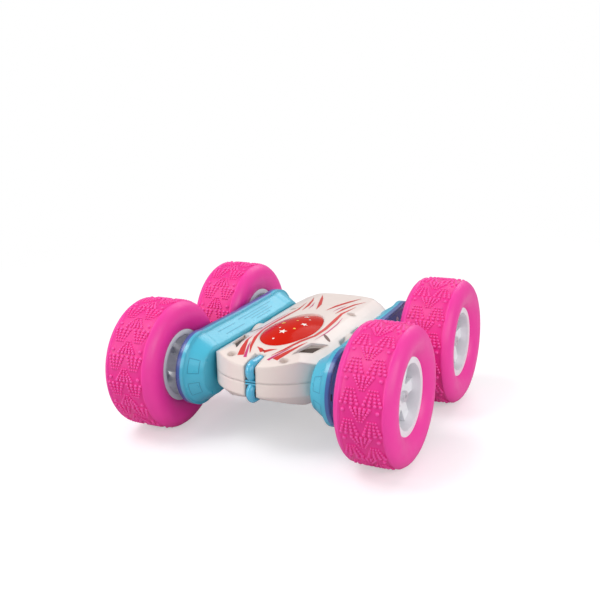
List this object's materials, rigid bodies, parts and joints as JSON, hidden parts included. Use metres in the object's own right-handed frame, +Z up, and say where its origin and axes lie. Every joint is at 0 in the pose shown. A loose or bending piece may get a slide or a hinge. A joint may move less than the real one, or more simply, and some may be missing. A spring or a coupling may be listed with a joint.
{
  "type": "rc stunt car",
  "caption": "Toy stunt car: a two-shell body on pivots between two geared swing arms, each driving a front and a rear balloon-tyred wheel from its own motor.",
  "frame": {"origin": "on the floor under the pivot axis, midway between the wheels", "axes": "+Z up, -Y towards the nose, +X towards the left-hand side of the car; all wheel and arm axes lie along X"},
  "size_m": [0.178, 0.1728, 0.078],
  "materials": {
    "tyre_rubber": "soft matte rubber with a nubbed tread",
    "rim_plastic": "white moulded plastic",
    "arm_plastic": "glossy cyan plastic",
    "cover_plastic": "indigo plastic",
    "body_plastic": "cream moulded plastic with printed streaks",
    "canopy_plastic": "glossy red plastic",
    "hook_plastic": "glossy blue plastic",
    "lens_plastic": "smoked clear plastic",
    "lamp_plastic": "clear epoxy lamp",
    "board": "green solder mask",
    "battery_wrap": "blue shrink wrap",
    "switch_plastic": "black plastic",
    "gear_plastic": "ivory moulded gears",
    "steel": "plated steel",
    "brass": "plain brass"
  },
  "bodies": {
    "chassis": {"body_top_shell": "body_plastic", "body_bottom_shell": "body_plastic", "canopy": "canopy_plastic", "upper_tow_hook": "hook_plastic", "lower_tow_hook": "hook_plastic", "headlight_lenses": "lens_plastic", "headlight_lamps": "lamp_plastic", "circuit_board": "board", "battery_pack": "battery_wrap", "battery_door": "body_plastic", "door_screw": "steel", "body_screws": "steel", "switch_housing": "switch_plastic"},
    "power_switch": {"switch_knob": "switch_plastic"},
    "left_arm": {"arm_shell_left": "arm_plastic", "arm_cover_left": "cover_plastic", "motor_left": "steel", "hub_ring_left": "gear_plastic", "arm_screws_left": "steel", "gear_pins_left": "steel", "axle_bushes_left": "brass"},
    "left_pinion": {"motor_pinion_left": "brass"},
    "front_left_wheel": {"tyre_front_left": "tyre_rubber", "rim_front_left": "rim_plastic", "axle_front_left": "steel", "wheel_gear_front_left": "gear_plastic", "wheel_screw_front_left": "steel"},
    "rear_left_wheel": {"tyre_rear_left": "tyre_rubber", "rim_rear_left": "rim_plastic", "axle_rear_left": "steel", "wheel_gear_rear_left": "gear_plastic", "wheel_screw_rear_left": "steel"},
    "front_left_compound": {"compound_gear_front_left": "gear_plastic"},
    "front_left_idler": {"idler_gear_front_left": "gear_plastic"},
    "rear_left_compound": {"compound_gear_rear_left": "gear_plastic"},
    "rear_left_idler": {"idler_gear_rear_left": "gear_plastic"},
    "right_arm": {"arm_shell_right": "arm_plastic", "arm_cover_right": "cover_plastic", "motor_right": "steel", "hub_ring_right": "gear_plastic", "arm_screws_right": "steel", "gear_pins_right": "steel", "axle_bushes_right": "brass"},
    "right_pinion": {"motor_pinion_right": "brass"},
    "front_right_wheel": {"tyre_front_right": "tyre_rubber", "rim_front_right": "rim_plastic", "axle_front_right": "steel", "wheel_gear_front_right": "gear_plastic", "wheel_screw_front_right": "steel"},
    "rear_right_wheel": {"tyre_rear_right": "tyre_rubber", "rim_rear_right": "rim_plastic", "axle_rear_right": "steel", "wheel_gear_rear_right": "gear_plastic", "wheel_screw_rear_right": "steel"},
    "front_right_compound": {"compound_gear_front_right": "gear_plastic"},
    "front_right_idler": {"idler_gear_front_right": "gear_plastic"},
    "rear_right_compound": {"compound_gear_rear_right": "gear_plastic"},
    "rear_right_idler": {"idler_gear_rear_right": "gear_plastic"}
  },
  "joints": [
    {"name": "power_switch_slide", "type": "slide", "parent": "chassis", "child": "power_switch", "axis": [0, 0.9986, -0.0523], "range_m": [0, 0.003]},
    {"name": "left_arm_swing", "type": "hinge", "parent": "chassis", "child": "left_arm", "pos_m": [0, 0, 0.039], "axis": [1, 0, 0], "range_deg": [-40, 40]},
    {"name": "front_left_wheel_spin", "type": "hinge", "parent": "left_arm", "child": "front_left_wheel", "pos_m": [0.072, -0.0474, 0.039], "axis": [1, 0, 0], "continuous": true},
    {"name": "rear_left_wheel_spin", "type": "hinge", "parent": "left_arm", "child": "rear_left_wheel", "pos_m": [0.072, 0.0474, 0.039], "axis": [1, 0, 0], "continuous": true},
    {"name": "front_left_compound_spin", "type": "hinge", "parent": "left_arm", "child": "front_left_compound", "pos_m": [0, -0.0138, 0.039], "axis": [1, 0, 0], "continuous": true},
    {"name": "front_left_idler_spin", "type": "hinge", "parent": "left_arm", "child": "front_left_idler", "pos_m": [0, -0.0278, 0.039], "axis": [1, 0, 0], "continuous": true},
    {"name": "rear_left_compound_spin", "type": "hinge", "parent": "left_arm", "child": "rear_left_compound", "pos_m": [0, 0.0138, 0.039], "axis": [1, 0, 0], "continuous": true},
    {"name": "rear_left_idler_spin", "type": "hinge", "parent": "left_arm", "child": "rear_left_idler", "pos_m": [0, 0.0278, 0.039], "axis": [1, 0, 0], "continuous": true},
    {"name": "left_pinion_spin", "type": "hinge", "parent": "left_arm", "child": "left_pinion", "pos_m": [0, 0, 0.039], "axis": [1, 0, 0], "continuous": true},
    {"name": "right_arm_swing", "type": "hinge", "parent": "chassis", "child": "right_arm", "pos_m": [0, 0, 0.039], "axis": [1, 0, 0], "range_deg": [-40, 40]},
    {"name": "front_right_wheel_spin", "type": "hinge", "parent": "right_arm", "child": "front_right_wheel", "pos_m": [-0.072, -0.0474, 0.039], "axis": [1, 0, 0], "continuous": true},
    {"name": "rear_right_wheel_spin", "type": "hinge", "parent": "right_arm", "child": "rear_right_wheel", "pos_m": [-0.072, 0.0474, 0.039], "axis": [1, 0, 0], "continuous": true},
    {"name": "front_right_compound_spin", "type": "hinge", "parent": "right_arm", "child": "front_right_compound", "pos_m": [0, -0.0138, 0.039], "axis": [1, 0, 0], "continuous": true},
    {"name": "front_right_idler_spin", "type": "hinge", "parent": "right_arm", "child": "front_right_idler", "pos_m": [0, -0.0278, 0.039], "axis": [1, 0, 0], "continuous": true},
    {"name": "rear_right_compound_spin", "type": "hinge", "parent": "right_arm", "child": "rear_right_compound", "pos_m": [0, 0.0138, 0.039], "axis": [1, 0, 0], "continuous": true},
    {"name": "rear_right_idler_spin", "type": "hinge", "parent": "right_arm", "child": "rear_right_idler", "pos_m": [0, 0.0278, 0.039], "axis": [1, 0, 0], "continuous": true},
    {"name": "right_pinion_spin", "type": "hinge", "parent": "right_arm", "child": "right_pinion", "pos_m": [0, 0, 0.039], "axis": [1, 0, 0], "continuous": true}
  ],
  "couplings": [
    {"joint": "front_left_compound_spin", "follows": "front_left_wheel_spin", "ratio": 2.1667},
    {"joint": "front_left_idler_spin", "follows": "front_left_wheel_spin", "ratio": -1.1304},
    {"joint": "rear_left_compound_spin", "follows": "front_left_wheel_spin", "ratio": 2.1667},
    {"joint": "rear_left_idler_spin", "follows": "front_left_wheel_spin", "ratio": -1.1304},
    {"joint": "left_pinion_spin", "follows": "front_left_wheel_spin", "ratio": -7.8},
    {"joint": "rear_left_wheel_spin", "follows": "front_left_wheel_spin", "ratio": 1},
    {"joint": "front_right_compound_spin", "follows": "front_right_wheel_spin", "ratio": 2.1667},
    {"joint": "front_right_idler_spin", "follows": "front_right_wheel_spin", "ratio": -1.1304},
    {"joint": "rear_right_compound_spin", "follows": "front_right_wheel_spin", "ratio": 2.1667},
    {"joint": "rear_right_idler_spin", "follows": "front_right_wheel_spin", "ratio": -1.1304},
    {"joint": "right_pinion_spin", "follows": "front_right_wheel_spin", "ratio": -7.8},
    {"joint": "rear_right_wheel_spin", "follows": "front_right_wheel_spin", "ratio": 1}
  ]
}
